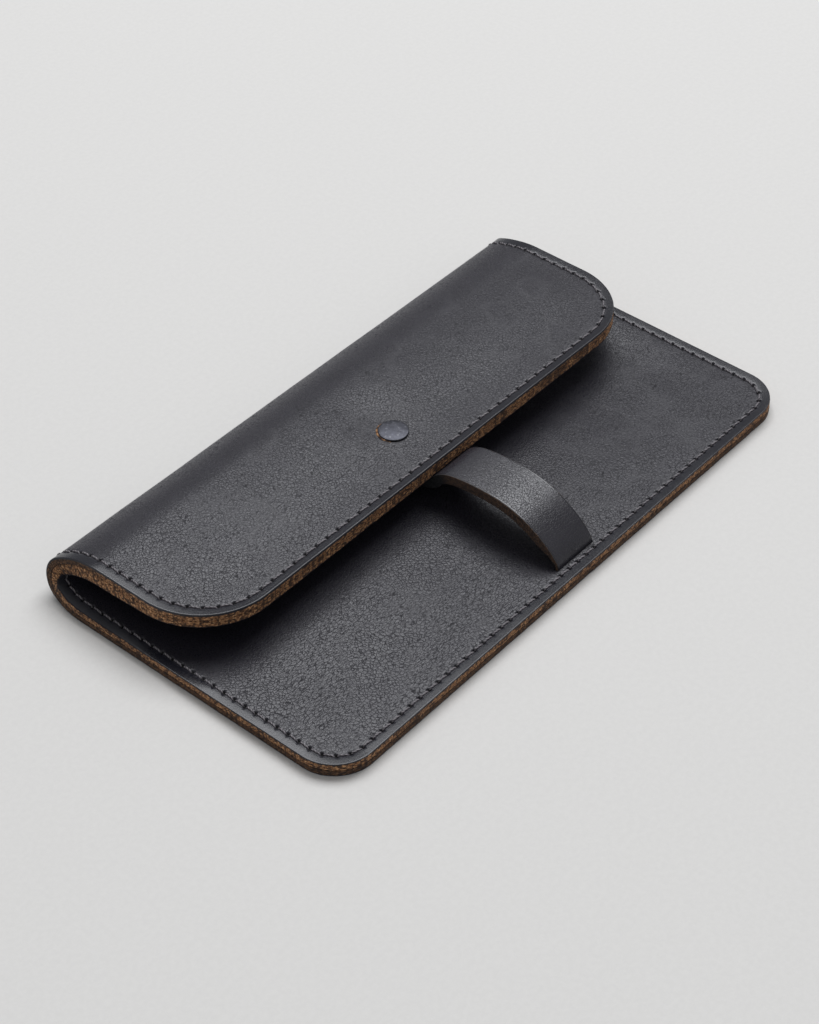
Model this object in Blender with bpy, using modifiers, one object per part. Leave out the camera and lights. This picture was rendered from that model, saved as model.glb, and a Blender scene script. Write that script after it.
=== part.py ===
# Small folding leather case that closes with a strap and a press stud.
# Two layers of leather, flesh side to flesh side, run from the base round the fold to the flap.
# X runs along the front edge, Y from the front edge to the fold, Z up; the case lies closed.
import math

import bmesh
import bpy
from mathutils import Vector

MM = 0.001

# Case, closed
case_length = 211.3 * MM        # base, end to end along X
case_depth = 114.7 * MM         # front edge of the base to the back of the fold
case_height = 18.0 * MM         # table to the top of the flap
leather_thickness = 2.05 * MM   # one layer
bond_gap = 0.3 * MM             # between the two layers
base_corner_radius = 13.5 * MM
flap_corner_radius = 24.0 * MM
flap_setback = 52.4 * MM        # front edge of the base to the front edge of the flap
flap_inset = 5.6 * MM           # the flap is this much shorter than the base at each end

# Fold, as its outer side shows it: a lazy sweep, a tight bend, a lazy sweep
lower_sweep_radius = 24.0 * MM
lower_sweep_angle = math.radians(22)
upper_sweep_radius = 32.0 * MM
upper_sweep_angle = math.radians(30)
bend_hinges = 4                 # creases shared out along the tight bend
crease_gap = 0.3 * MM           # between neighbouring pieces of the fold

# Stitching round the edge
seam_margin = 3.5 * MM          # ends of the leather to the stitch line
base_front_margin = 3.3 * MM    # front edge of the base to the stitch line
flap_front_margin = 2.8 * MM    # front edge of the flap to the stitch line
thread_radius = 0.28 * MM
thread_gap = 0.1 * MM           # thread to the leather that it lies on
thread_end_gap = 0.55 * MM      # thread end to the crease beside it
groove_radius = 0.65 * MM       # cut under the base, so that the seam clears the table
groove_sink = 0.3 * MM          # middle of the groove above the table
table_gap = 0.05 * MM           # lowest stitch on the fold above the table

# Closing strap
strap_width = 16.4 * MM
strap_thickness = 3.4 * MM
strap_root_thickness = 1.4 * MM  # pared down where it is sewn in
strap_pared_length = 11.0 * MM
strap_offset = 3.25 * MM        # its middle sits this far to the right of the middle of the case
strap_tip_radius = 6.0 * MM
strap_tip_reach = 9.0 * MM      # middle of the snap to the end of the strap
strap_root_setback = 5.1 * MM   # front edge to where the strap leaves the lining
strap_root_stub = 0.4 * MM      # height of its sewn root above the lining
strap_peak_setback = 31.2 * MM
strap_peak_rise = 5.3 * MM      # top of the arch above the underside of the flap
strap_edge_drop = 0.4 * MM      # top of the strap below the flap where it slips under
strap_edge_angle = math.radians(-60)
strap_flat_lead = 5.0 * MM      # flat part of the strap in front of the snap
slit_gap = 0.3 * MM

# Snap: cap and socket on the flap, stud and back ring on the strap
snap_offset = -0.95 * MM         # its middle sits a little to the left of the middle of the case
snap_setback = 18.5 * MM        # front edge of the flap to the middle of the snap
cap_radius = 4.7 * MM
cap_height = 0.95 * MM
cap_rim = 0.35 * MM
shank_radius = 1.5 * MM
metal_gap = 0.2 * MM
socket_radius = 3.9 * MM
socket_plate = 0.8 * MM
socket_depth = 1.4 * MM
stud_radius = 1.8 * MM
stud_clearance = 0.6 * MM       # round the stud inside the socket
stud_headroom = 0.3 * MM        # above the stud inside the socket
stud_flange_radius = 3.3 * MM
stud_flange = 0.5 * MM
stud_post_radius = 1.2 * MM
back_ring_radius = 3.4 * MM
back_ring_thickness = 0.6 * MM
cut_overrun = 1.0 * MM
weld_distance = 0.01 * MM

# Worked out from the sizes above
laminate = 2 * leather_thickness + bond_gap
bend_start = lower_sweep_angle
bend_end = math.pi - upper_sweep_angle
lower_rise = lower_sweep_radius * (1 - math.cos(lower_sweep_angle))
upper_rise = upper_sweep_radius * (1 - math.cos(upper_sweep_angle))
bend_radius = (case_height - lower_rise - upper_rise) / (math.cos(bend_start) - math.cos(bend_end))
sweep_start = (case_depth - lower_sweep_radius * math.sin(bend_start)
               - bend_radius * (1 - math.sin(bend_start)))
upper_sweep_end = (sweep_start + lower_sweep_radius * math.sin(bend_start)
                   + bend_radius * (math.sin(bend_end) - math.sin(bend_start))
                   - upper_sweep_radius * math.sin(upper_sweep_angle))
lower_sweep_length = lower_sweep_radius * lower_sweep_angle
bend_length = bend_radius * (bend_end - bend_start)
upper_sweep_length = upper_sweep_radius * upper_sweep_angle
bend_from = sweep_start + lower_sweep_length
upper_sweep_from = bend_from + bend_length
flap_from = upper_sweep_from + upper_sweep_length
leather_length = flap_from + upper_sweep_end - flap_setback
flap_underside = case_height - laminate
stitch_rise = thread_gap + 2 * thread_radius
front = -(case_depth + stitch_rise) / 2  # the origin is under the middle of the case and its stitching
base_half = case_length / 2
flap_half = base_half - flap_inset
snap_y = front + flap_setback + snap_setback
cap_low = case_height + metal_gap
socket_top = flap_underside - metal_gap
socket_low = socket_top - socket_plate - socket_depth
stud_top = socket_top - socket_plate - stud_headroom
flange_top = socket_low - metal_gap
flange_low = flange_top - stud_flange
strap_end_top = flange_low - metal_gap
ring_top = strap_end_top - strap_thickness - metal_gap
ring_low = ring_top - back_ring_thickness
strap_root_top = laminate + strap_root_stub
stitch_lift = math.acos((lower_sweep_radius - table_gap) / (lower_sweep_radius + stitch_rise))
fold_seam_from = sweep_start + lower_sweep_radius * stitch_lift

# The flap narrows along the fold, over this stretch of it
narrowing_shares = (-0.09, 0.85)

# Strap's curve between its main points: how far each bend reaches, as shares of the distance
root_reach_share = 0.08
peak_reach_share = 0.54
edge_reach_share = 0.24
stud_neck_share = 0.82
stud_crown_share = 0.86

# Steps along curved stretches
corner_steps = 8
sweep_steps = 4
crease_steps = 4
strap_steps = 9
turned_steps = 32
drill_sides = 24
dome_steps = 6

leather_black = (0.035, 0.036, 0.042, 1.0)
lining_black = (0.03, 0.031, 0.037, 1.0)
thread_grey = (0.05, 0.047, 0.055, 1.0)
gunmetal = (0.16, 0.17, 0.19, 1.0)
brass_brown = (0.22, 0.17, 0.11, 1.0)


def clear_scene():
    for thing in list(bpy.data.objects):
        bpy.data.objects.remove(thing, do_unlink=True)


def new_collection(name):
    collection = bpy.data.collections.new(name)
    bpy.context.scene.collection.children.link(collection)
    return collection


def make_material(name, colour, roughness, metallic=0.0):
    material = bpy.data.materials.new(name)
    material.use_nodes = True
    surface = material.node_tree.nodes["Principled BSDF"]
    surface.inputs["Base Color"].default_value = colour
    surface.inputs["Roughness"].default_value = roughness
    surface.inputs["Metallic"].default_value = metallic
    return material


# Place of the leather's outer side, a distance along it from the front edge: y, z and heading
def outer_path(along):
    if along <= sweep_start:
        return along, 0.0, 0.0
    if along <= bend_from:
        turn = (along - sweep_start) / lower_sweep_radius
        y = sweep_start + lower_sweep_radius * math.sin(turn)
        return y, lower_sweep_radius * (1 - math.cos(turn)), turn
    if along <= upper_sweep_from:
        turn = bend_start + (along - bend_from) / bend_radius
        y = (sweep_start + lower_sweep_radius * math.sin(bend_start)
             + bend_radius * (math.sin(turn) - math.sin(bend_start)))
        z = lower_rise + bend_radius * (math.cos(bend_start) - math.cos(turn))
        return y, z, turn
    if along <= flap_from:
        turn = bend_end + (along - upper_sweep_from) / upper_sweep_radius
        y = upper_sweep_end + upper_sweep_radius * math.sin(turn)
        return y, case_height - upper_sweep_radius * (1 + math.cos(turn)), turn
    return upper_sweep_end - (along - flap_from), case_height, math.pi


# A point of the leather: x, distance along the outer side, depth below it towards the lining
def leather_point(x, along, depth):
    y, z, turn = outer_path(along)
    return Vector((x, front + y - depth * math.sin(turn), z + depth * math.cos(turn)))


def smooth(value):
    value = min(max(value, 0.0), 1.0)
    return value * value * (3 - 2 * value)


def straight_half(along):
    fold_length = flap_from - sweep_start
    starts, ends = (sweep_start + share * fold_length for share in narrowing_shares)
    return base_half - flap_inset * smooth((along - starts) / (ends - starts))


# Half the leather's length along X, with its rounded corners
def half_width(along):
    half = straight_half(along)
    to_front = base_corner_radius - along
    if to_front > 0:
        return half - base_corner_radius + math.sqrt(max(base_corner_radius ** 2 - to_front ** 2, 0))
    to_end = flap_corner_radius - (leather_length - along)
    if to_end > 0:
        return half - flap_corner_radius + math.sqrt(max(flap_corner_radius ** 2 - to_end ** 2, 0))
    return half


def evenly(first, last, steps):
    return [first + (last - first) * step / steps for step in range(steps + 1)]


# Places to cut a rounded corner into steps, measured in from the edge
def corner_stations(radius):
    return [radius * (1 - math.cos(turn)) for turn in evenly(0, math.pi / 2, corner_steps)]


def loft(name, rings, material, collection):
    shape = bmesh.new()
    loops = [[shape.verts.new(point) for point in ring] for ring in rings]
    count = len(rings[0])
    for near, far in zip(loops, loops[1:]):
        for side in range(count):
            following = (side + 1) % count
            shape.faces.new((near[side], near[following], far[following], far[side]))
    shape.faces.new(loops[0][::-1])
    shape.faces.new(loops[-1])
    bmesh.ops.recalc_face_normals(shape, faces=shape.faces)
    mesh = bpy.data.meshes.new(name)
    shape.to_mesh(mesh)
    shape.free()
    piece = bpy.data.objects.new(name, mesh)
    piece.data.materials.append(material)
    collection.objects.link(piece)
    return piece


def leather_piece(name, stations, top, bottom, material):
    rings = []
    for along in stations:
        half = half_width(along)
        rings.append([leather_point(-half, along, top), leather_point(half, along, top),
                      leather_point(half, along, bottom), leather_point(-half, along, bottom)])
    return loft(name, rings, material, case)


def tube(name, points, radius, material, collection):
    curve = bpy.data.curves.new(name, "CURVE")
    curve.dimensions = "3D"
    curve.bevel_depth = radius
    curve.bevel_resolution = 1
    curve.use_fill_caps = True
    line = curve.splines.new("POLY")
    line.points.add(len(points) - 1)
    for spot, point in zip(line.points, points):
        spot.co = (point.x, point.y, point.z, 1.0)
    piece = bpy.data.objects.new(name, curve)
    piece.data.materials.append(material)
    collection.objects.link(piece)
    return piece


# A turned piece: its profile runs down its outer side, and a ring's profile closes on itself
def turned(name, profile, material, ring=False):
    mesh = bpy.data.meshes.new(name)
    edges = [(spot, spot + 1) for spot in range(len(profile) - 1)]
    if ring:
        edges.append((len(profile) - 1, 0))
    mesh.from_pydata([(radius, 0.0, height) for radius, height in profile], edges, [])
    piece = bpy.data.objects.new(name, mesh)
    piece.location = (snap_offset, snap_y, 0.0)
    screw = piece.modifiers.new("turn", "SCREW")
    screw.axis = "Z"
    screw.steps = turned_steps
    screw.render_steps = turned_steps
    screw.use_merge_vertices = True
    screw.merge_threshold = weld_distance
    screw.use_smooth_shade = True
    piece.data.materials.append(material)
    case.objects.link(piece)
    return piece


def as_mesh(piece, collection):
    bpy.context.view_layer.update()
    evaluated = piece.evaluated_get(bpy.context.evaluated_depsgraph_get())
    mesh = bpy.data.meshes.new_from_object(evaluated)
    shape = bmesh.new()
    shape.from_mesh(mesh)
    bmesh.ops.remove_doubles(shape, verts=shape.verts, dist=weld_distance)
    bmesh.ops.recalc_face_normals(shape, faces=shape.faces)
    shape.to_mesh(mesh)
    shape.free()
    solid = bpy.data.objects.new(piece.name + "_solid", mesh)
    solid.matrix_world = piece.matrix_world
    collection.objects.link(solid)
    bpy.data.objects.remove(piece, do_unlink=True)
    return solid


def hide_cutter(cutter):
    cutter.hide_render = True
    cutter.display_type = "WIRE"
    return cutter


def cut(piece, cutter):
    boolean = piece.modifiers.new("cut " + cutter.name, "BOOLEAN")
    boolean.operation = "DIFFERENCE"
    boolean.solver = "EXACT"
    boolean.object = cutter


def drill(name, low, high, radius):
    shape = bmesh.new()
    bmesh.ops.create_cone(shape, cap_ends=True, segments=drill_sides, radius1=radius, radius2=radius,
                          depth=high - low + 2 * cut_overrun)
    mesh = bpy.data.meshes.new(name)
    shape.to_mesh(mesh)
    shape.free()
    cutter = bpy.data.objects.new(name, mesh)
    cutter.location = (snap_offset, snap_y, (low + high) / 2)
    cutters.objects.link(cutter)
    return hide_cutter(cutter)


# A hinge: an empty on the axis, carried by the hinge before it
def hinge(name, place, parent=None):
    pivot = bpy.data.objects.new(name, None)
    pivot.empty_display_size = leather_thickness
    pivot.location = place - parent["place"] if parent else place
    holder = {"empty": pivot, "place": place}
    if parent:
        pivot.parent = parent["empty"]
    case.objects.link(pivot)
    return holder


# Hang a piece on a hinge without moving it: its origin goes to the hinge's axis
def hang(piece, pivot):
    if piece.type == "CURVE":
        for line in piece.data.splines:
            for spot in line.points:
                spot.co = (Vector(spot.co[:3]) - pivot["place"]).to_4d()
    elif piece.location.length == 0:
        for vertex in piece.data.vertices:
            vertex.co -= pivot["place"]
    else:
        piece.location -= pivot["place"]
    piece.parent = pivot["empty"]


# Stitch line along one end, round the corners, along the edge and back along the other end
def seam_points(stations, edge, inward, corner_radius, edge_margin, depth):
    line = [(straight_half(along) - seam_margin, along) for along in stations]
    middle = straight_half(edge) - corner_radius
    for turn in evenly(0, math.pi / 2, corner_steps):
        out = (corner_radius - seam_margin) * math.cos(turn)
        reach = corner_radius - (corner_radius - edge_margin) * math.sin(turn)
        line.append((middle + out, edge + inward * reach))
    right = [leather_point(x, along, depth) for x, along in line]
    left = [leather_point(-x, along, depth) for x, along in reversed(line)]
    return right + left


# Smooth curve between two points of a side view, each with its heading and its reach
def curve_between(start, start_heading, start_reach, end, end_heading, end_reach):
    span = math.dist(start, end)
    near = (start[0] + span * start_reach * math.cos(start_heading),
            start[1] + span * start_reach * math.sin(start_heading))
    far = (end[0] - span * end_reach * math.cos(end_heading),
           end[1] - span * end_reach * math.sin(end_heading))
    points = []
    for t in evenly(0, 1, strap_steps):
        weights = ((1 - t) ** 3, 3 * t * (1 - t) ** 2, 3 * t * t * (1 - t), t ** 3)
        corners = (start, near, far, end)
        points.append(tuple(sum(weight * corner[axis] for weight, corner in zip(weights, corners))
                            for axis in (0, 1)))
    return points


# Top side of the strap in side view, from its root to its tip: it arches up and dives under the flap
def strap_line():
    root = (strap_root_setback, strap_root_top + crease_gap)
    peak = (strap_peak_setback, flap_underside + strap_peak_rise)
    edge = (flap_setback, flap_underside - strap_edge_drop)
    level = (snap_y - front - strap_flat_lead, strap_end_top)
    tip = snap_y - front + strap_tip_reach
    line = curve_between(root, math.pi / 2, root_reach_share, peak, 0.0, peak_reach_share)
    line += curve_between(peak, 0.0, peak_reach_share, edge, strap_edge_angle, edge_reach_share)[1:]
    line += curve_between(edge, strap_edge_angle, edge_reach_share, level, 0.0, edge_reach_share)[1:]
    rounding = [tip - along for along in reversed(corner_stations(strap_tip_radius))]
    return line + [(y, strap_end_top) for y in rounding]


def strap_rings():
    line = strap_line()
    tip = line[-1][0]
    travelled = 0.0
    rings = []
    for spot, (y, z) in enumerate(line):
        before = line[max(spot - 1, 0)]
        after = line[min(spot + 1, len(line) - 1)]
        heading = math.atan2(after[1] - before[1], after[0] - before[0]) if spot else math.pi / 2
        travelled += math.dist(before, (y, z))
        pared = smooth(travelled / strap_pared_length)
        thick = strap_root_thickness + (strap_thickness - strap_root_thickness) * pared
        past = max(strap_tip_radius - (tip - y), 0.0)
        half = strap_width / 2 - strap_tip_radius
        half += math.sqrt(max(strap_tip_radius ** 2 - past ** 2, 0.0))
        low_y = y + thick * math.sin(heading)
        low_z = z - thick * math.cos(heading)
        rings.append([Vector((strap_offset - half, front + y, z)),
                      Vector((strap_offset + half, front + y, z)),
                      Vector((strap_offset + half, front + low_y, low_z)),
                      Vector((strap_offset - half, front + low_y, low_z))])
    return rings


def block(name, low, high, material, collection):
    shape = bmesh.new()
    bmesh.ops.create_cube(shape, size=1.0)
    for vertex in shape.verts:
        vertex.co = Vector(((vertex.co.x + 0.5) * (high[0] - low[0]) + low[0],
                            (vertex.co.y + 0.5) * (high[1] - low[1]) + low[1],
                            (vertex.co.z + 0.5) * (high[2] - low[2]) + low[2]))
    mesh = bpy.data.meshes.new(name)
    shape.to_mesh(mesh)
    shape.free()
    piece = bpy.data.objects.new(name, mesh)
    if material:
        piece.data.materials.append(material)
    collection.objects.link(piece)
    return piece


clear_scene()
case = new_collection("leather_case")
cutters = new_collection("cutters")
outer_leather = make_material("outer leather", leather_black, 0.55)
lining_leather = make_material("lining leather", lining_black, 0.6)
strap_leather = make_material("strap leather", leather_black, 0.5)
thread = make_material("waxed thread", thread_grey, 0.6)
cap_metal = make_material("blackened cap", gunmetal, 0.38, 1.0)
snap_metal = make_material("snap metal", brass_brown, 0.4, 1.0)

# Creases: one in each sweep and the rest shared out along the tight bend
crease_turn = (bend_end - bend_start) / bend_hinges
creases = [sweep_start + lower_sweep_length / 2]
creases += [bend_from + bend_radius * crease_turn * (count + 0.5) for count in range(bend_hinges)]
creases += [upper_sweep_from + upper_sweep_length / 2]
pivots = []
for number, along in enumerate(creases):
    holder = pivots[-1] if pivots else None
    pivots.append(hinge("crease_%d" % (number + 1), leather_point(0.0, along, 0.0), holder))
flap_pivot = pivots[-1]

narrowing_from = sweep_start + narrowing_shares[0] * (flap_from - sweep_start)
base_stations = (corner_stations(base_corner_radius) + evenly(narrowing_from, sweep_start, 1)
                 + evenly(sweep_start, creases[0] - crease_gap / 2, sweep_steps)[1:])
flap_stations = (evenly(creases[-1] + crease_gap / 2, flap_from, sweep_steps)
                 + [leather_length - along for along in reversed(corner_stations(flap_corner_radius))])
layers = (("outer", 0.0, leather_thickness, outer_leather),
          ("lining", leather_thickness + bond_gap, laminate, lining_leather))
panels = {}
for layer, top, bottom, leather in layers:
    panels[layer + "_base"] = leather_piece(layer + "_base", base_stations, top, bottom, leather)
    for number, (first, last) in enumerate(zip(creases, creases[1:])):
        stations = evenly(first + crease_gap / 2, last - crease_gap / 2, crease_steps)
        name = "%s_fold_%d" % (layer, number + 1)
        hang(leather_piece(name, stations, top, bottom, leather), pivots[number])
    panels[layer + "_flap"] = leather_piece(layer + "_flap", flap_stations, top, bottom, leather)

# Underside of the base: a groove keeps its stitching clear of the table
on_top = laminate + thread_gap + thread_radius
on_outside = -thread_gap - thread_radius
base_seam_ends = evenly(creases[0] - thread_end_gap, narrowing_from, sweep_steps)
groove_ends = [creases[0] + cut_overrun] + base_seam_ends
front_edge = (0.0, 1, base_corner_radius, base_front_margin)
groove = tube("groove_line", seam_points(groove_ends, *front_edge, groove_sink),
              groove_radius, thread, cutters)
cut(panels["outer_base"], hide_cutter(as_mesh(groove, cutters)))
tube("seam_base_under", seam_points(base_seam_ends, *front_edge, groove_sink),
     thread_radius, thread, case)
tube("seam_base_top", seam_points(base_seam_ends, *front_edge, on_top), thread_radius, thread, case)

# Stitching on the flap, on both its sides, and on the outside of each piece of the fold
flap_seam_ends = evenly(creases[-1] + thread_end_gap, flap_from, sweep_steps)
flap_edge = (leather_length, -1, flap_corner_radius, flap_front_margin)
for side, depth in (("top", on_outside), ("under", on_top)):
    points = seam_points(flap_seam_ends, *flap_edge, depth)
    hang(tube("seam_flap_" + side, points, thread_radius, thread, case), flap_pivot)
for number, (first, last) in enumerate(zip(creases, creases[1:])):
    stations = evenly(max(first + thread_end_gap, fold_seam_from), last - thread_end_gap, crease_steps)
    for side, way in (("left", -1), ("right", 1)):
        points = [leather_point(way * (straight_half(along) - seam_margin), along, on_outside)
                  for along in stations]
        name = "seam_fold_%d_%s" % (number + 1, side)
        hang(tube(name, points, thread_radius, thread, case), pivots[number])

# Closing strap: its root is sewn into a slit in the lining, and its band swings on the root
root_y = front + strap_root_setback
lining_low = leather_thickness + bond_gap
slit_half = strap_width / 2 + slit_gap
slit = block("slit", (strap_offset - slit_half, root_y - slit_gap, lining_low - cut_overrun),
             (strap_offset + slit_half, root_y + strap_root_thickness + slit_gap,
              laminate + cut_overrun), None, cutters)
cut(panels["lining_base"], hide_cutter(slit))
block("strap_root", (strap_offset - strap_width / 2, root_y, lining_low),
      (strap_offset + strap_width / 2, root_y + strap_root_thickness, strap_root_top),
      strap_leather, case)
strap_pivot = hinge("strap_hinge", Vector((strap_offset, root_y, strap_root_top + crease_gap / 2)))
strap_band = loft("strap_band", strap_rings(), strap_leather, case)
cut(strap_band, drill("stud_hole", strap_end_top - strap_thickness, strap_end_top,
                      stud_post_radius + metal_gap))
hang(strap_band, strap_pivot)

# Snap: the cap's shank goes through the flap and carries the socket
shank_hole = drill("shank_hole", flap_underside, case_height, shank_radius + metal_gap)
for layer in ("outer_flap", "lining_flap"):
    cut(panels[layer], shank_hole)
    hang(panels[layer], flap_pivot)
dome = [(cap_radius * math.sin(turn),
         cap_low + cap_rim + (cap_height - cap_rim) * math.cos(turn))
        for turn in evenly(0, math.pi / 2, dome_steps)]
shank_low = socket_top - socket_plate
hang(turned("snap_cap", dome + [(cap_radius, cap_low), (shank_radius, cap_low),
                                (shank_radius, shank_low), (0.0, shank_low)], cap_metal), flap_pivot)
bore = stud_radius + stud_clearance
plate_hole = shank_radius + metal_gap
hang(turned("snap_socket", [(plate_hole, socket_top), (socket_radius, socket_top),
                            (socket_radius, socket_low), (bore, socket_low), (bore, shank_low),
                            (plate_hole, shank_low)], snap_metal, ring=True), flap_pivot)

# The stud's post goes through the strap and carries the ring on its underside
neck = stud_radius * stud_neck_share
crown_low = flange_top + (stud_top - flange_top) * stud_crown_share
hang(turned("snap_stud", [(0.0, stud_top), (neck, stud_top), (stud_radius, crown_low),
                          (neck, flange_top), (stud_flange_radius, flange_top),
                          (stud_flange_radius, flange_low), (stud_post_radius, flange_low),
                          (stud_post_radius, ring_low), (0.0, ring_low)], snap_metal), strap_pivot)
ring_hole = stud_post_radius + metal_gap
hang(turned("snap_back_ring", [(ring_hole, ring_top), (back_ring_radius, ring_top),
                               (back_ring_radius, ring_low), (ring_hole, ring_low)],
            snap_metal, ring=True), strap_pivot)
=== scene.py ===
# Folding leather case in two bonded layers, closed by a strap and a press stud, on a pale table
import math

import bmesh
import bpy
from mathutils import Matrix, Vector, noise
from mathutils.geometry import delaunay_2d_cdt


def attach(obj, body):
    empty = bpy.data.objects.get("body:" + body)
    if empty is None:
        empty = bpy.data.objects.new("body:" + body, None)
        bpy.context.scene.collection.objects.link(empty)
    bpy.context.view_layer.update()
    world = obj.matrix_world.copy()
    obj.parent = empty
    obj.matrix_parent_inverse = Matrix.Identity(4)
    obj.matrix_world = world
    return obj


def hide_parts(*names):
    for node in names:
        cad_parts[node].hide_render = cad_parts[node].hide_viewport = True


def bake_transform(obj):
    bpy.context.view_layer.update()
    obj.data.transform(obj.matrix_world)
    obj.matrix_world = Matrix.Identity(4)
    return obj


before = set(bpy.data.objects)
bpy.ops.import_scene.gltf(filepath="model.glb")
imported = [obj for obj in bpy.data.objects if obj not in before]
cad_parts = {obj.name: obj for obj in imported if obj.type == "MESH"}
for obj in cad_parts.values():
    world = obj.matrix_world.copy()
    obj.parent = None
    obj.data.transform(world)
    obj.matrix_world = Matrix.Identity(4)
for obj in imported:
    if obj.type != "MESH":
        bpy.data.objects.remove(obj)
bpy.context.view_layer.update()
mm = 0.001
print("frame loaded,", len(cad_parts), "nodes")

# The closed case, as its outer side runs from the front edge round the fold to the flap
shape = {
    "length": 211.3 * mm, "depth": 114.7 * mm, "height": 18.0 * mm, "thickness": 4.4 * mm,
    "stitchRise": 0.66 * mm,
    "baseCorner": 13.5 * mm, "flapCorner": 24.0 * mm, "flapSetback": 52.4 * mm, "flapInset": 5.6 * mm,
    "snapSetback": 18.5 * mm, "snapOffset": -0.95 * mm,
    "lowerRadius": 24.0 * mm, "lowerAngle": math.radians(22),
    "upperRadius": 32.0 * mm, "upperAngle": math.radians(30),
    "hinges": 4, "narrowing": (-0.09, 0.85),
    "bendFrom": 96.5 * mm, "bendTo": 143.9 * mm,  # the stretch of leather that bends
}
lowRadius, lowAngle = shape["lowerRadius"], shape["lowerAngle"]
highRadius, highAngle = shape["upperRadius"], shape["upperAngle"]
lowSine, lowCosine = math.sin(lowAngle), math.cos(lowAngle)
front = -(shape["depth"] + shape["stitchRise"]) / 2
lowerRise = lowRadius * (1 - lowCosine)
upperRise = highRadius * (1 - math.cos(highAngle))
bendEnd = math.pi - highAngle
bendRadius = (shape["height"] - lowerRise - upperRise) / (lowCosine - math.cos(bendEnd))
sweepStart = shape["depth"] - lowRadius * lowSine - bendRadius * (1 - lowSine)
sweepTop = (sweepStart + lowRadius * lowSine + bendRadius * (math.sin(bendEnd) - lowSine)
            - highRadius * math.sin(highAngle))
tightFrom = sweepStart + lowRadius * lowAngle
tightTo = tightFrom + bendRadius * (bendEnd - lowAngle)
flapFrom = tightTo + highRadius * highAngle
leatherEnd = flapFrom + sweepTop - shape["flapSetback"]
creaseTurn = (bendEnd - lowAngle) / shape["hinges"]
creases = [(sweepStart + tightFrom) / 2]
creases += [tightFrom + bendRadius * creaseTurn * (count + 0.5) for count in range(shape["hinges"])]
creases += [(tightTo + flapFrom) / 2]
snapX = shape["snapOffset"]
snapY = front + shape["flapSetback"] + shape["snapSetback"]


def smooth(value):
    value = min(max(value, 0.0), 1.0)
    return value * value * (3 - 2 * value)


def outerPath(along):
    if along <= sweepStart:
        return along, 0.0, 0.0
    if along <= tightFrom:
        turn = (along - sweepStart) / lowRadius
        return sweepStart + lowRadius * math.sin(turn), lowRadius * (1 - math.cos(turn)), turn
    if along <= tightTo:
        turn = lowAngle + (along - tightFrom) / bendRadius
        y = sweepStart + lowRadius * lowSine + bendRadius * (math.sin(turn) - lowSine)
        return y, lowerRise + bendRadius * (lowCosine - math.cos(turn)), turn
    if along <= flapFrom:
        turn = bendEnd + (along - tightTo) / highRadius
        return (sweepTop + highRadius * math.sin(turn),
                shape["height"] - highRadius * (1 + math.cos(turn)), turn)
    return sweepTop - (along - flapFrom), shape["height"], math.pi


# From flat leather to its place: x, distance along the outer side, depth below it
def place(x, along, depth):
    y, z, turn = outerPath(along)
    return Vector((x, front + y - depth * math.sin(turn), z + depth * math.cos(turn)))


def halfLength(along):
    stretch = flapFrom - sweepStart
    starts, ends = (sweepStart + share * stretch for share in shape["narrowing"])
    return shape["length"] / 2 - shape["flapInset"] * smooth((along - starts) / (ends - starts))


def spread(first, last, steps):
    return [first + (last - first) * step / steps for step in range(steps + 1)]


def wander(x, along, seed, size):
    return noise.noise(Vector((x / size + seed * 7.3, along / size - seed * 3.1, seed)))


# Materials: small helpers that add nodes and join them
def feed(tree, socket, value):
    if isinstance(value, bpy.types.NodeSocket):
        tree.links.new(value, socket)
    else:
        socket.default_value = value


def addNode(tree, kind, sockets=None, **settings):
    made = tree.nodes.new("ShaderNode" + kind)
    for key, value in settings.items():
        setattr(made, key, value)
    for key, value in (sockets or {}).items():
        feed(tree, made.inputs[key], value)
    return made


def calc(tree, operation, first, second=0.0, third=0.0):
    return addNode(tree, "Math", {0: first, 1: second, 2: third}, operation=operation).outputs[0]


def times(tree, first, second):
    return calc(tree, "MULTIPLY", first, second)


def between(tree, value, low, high, lowOut=0.0, highOut=1.0):
    return addNode(tree, "MapRange", {0: value, 1: low, 2: high, 3: lowOut, 4: highOut},
                   interpolation_type="SMOOTHSTEP").outputs[0]


def mixColour(tree, factor, first, second):
    return addNode(tree, "Mix", {0: factor, 6: first, 7: second}, data_type="RGBA").outputs[2]


def noiseOf(tree, vector, scale, detail=2.0, roughness=0.5):
    return addNode(tree, "TexNoise", {"Vector": vector, "Scale": scale, "Detail": detail,
                                      "Roughness": roughness}).outputs["Fac"]


def newMaterial(name):
    material = bpy.data.materials.new(name)
    material.use_nodes = True
    return material, material.node_tree


def setSurface(tree, sockets, height, depth, strength=1.0):
    bump = addNode(tree, "Bump", {"Strength": strength, "Distance": depth, "Height": height})
    surface = tree.nodes["Principled BSDF"]
    for key, value in {**sockets, "Normal": bump.outputs[0]}.items():
        feed(tree, surface.inputs[key], value)


edgeLine = -3.5    # where the cut edge lies, across the seam, in seam units of about 1 mm
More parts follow.
